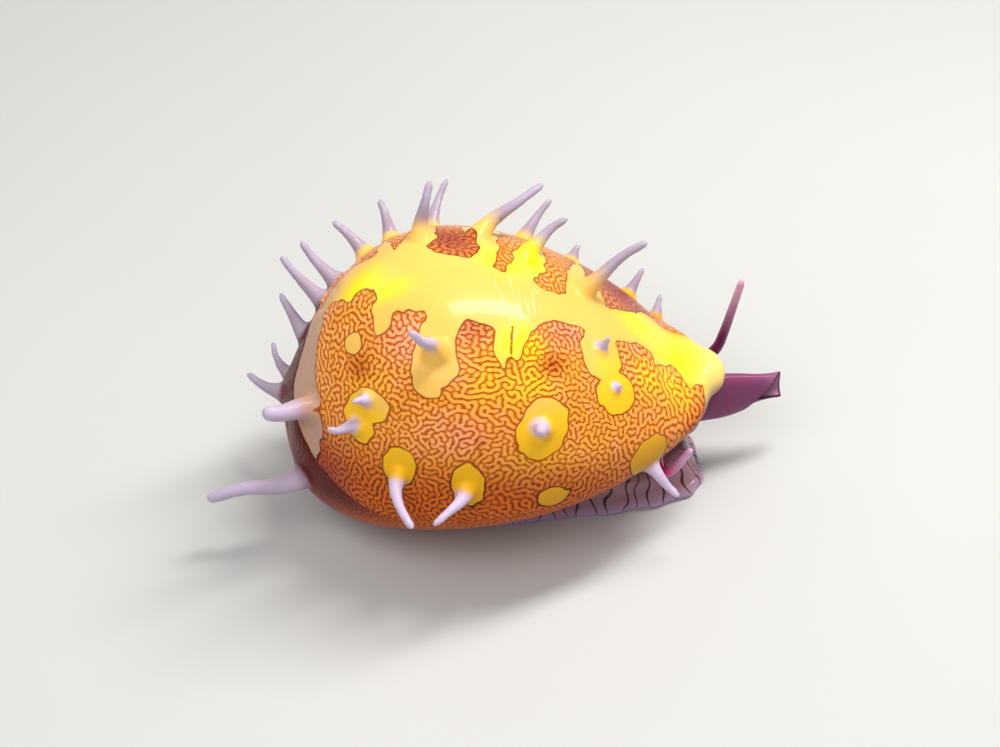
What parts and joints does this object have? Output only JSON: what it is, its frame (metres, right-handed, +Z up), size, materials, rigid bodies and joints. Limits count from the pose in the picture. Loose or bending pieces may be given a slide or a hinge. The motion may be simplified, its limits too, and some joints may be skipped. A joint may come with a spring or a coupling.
{
  "type": "egg cowrie snail with its mantle out",
  "caption": "Small sea snail crawling on its foot, the speckled mantle spread over its shell and set with finger-like papillae.",
  "frame": {"origin": "middle of the flat sole of the foot, on the floor", "axes": "+X to the head, +Y to the animal's left, +Z up"},
  "size_m": [0.0167, 0.0108, 0.0097],
  "materials": {
    "mantle": "wet flesh, orange net with yellow patches",
    "foot": "wet translucent flesh",
    "head": "wet translucent flesh",
    "siphon": "wet translucent flesh",
    "tentacle": "wet translucent flesh",
    "eye": "glossy black"
  },
  "bodies": {
    "root": {"mantle_left": "mantle", "mantle_right": "mantle", "foot": "foot", "foot_front": "foot", "head": "head", "siphon": "siphon", "tentacle_left": "tentacle", "tentacle_right": "tentacle", "eye_left": "eye", "eye_right": "eye"}
  },
  "joints": []
}
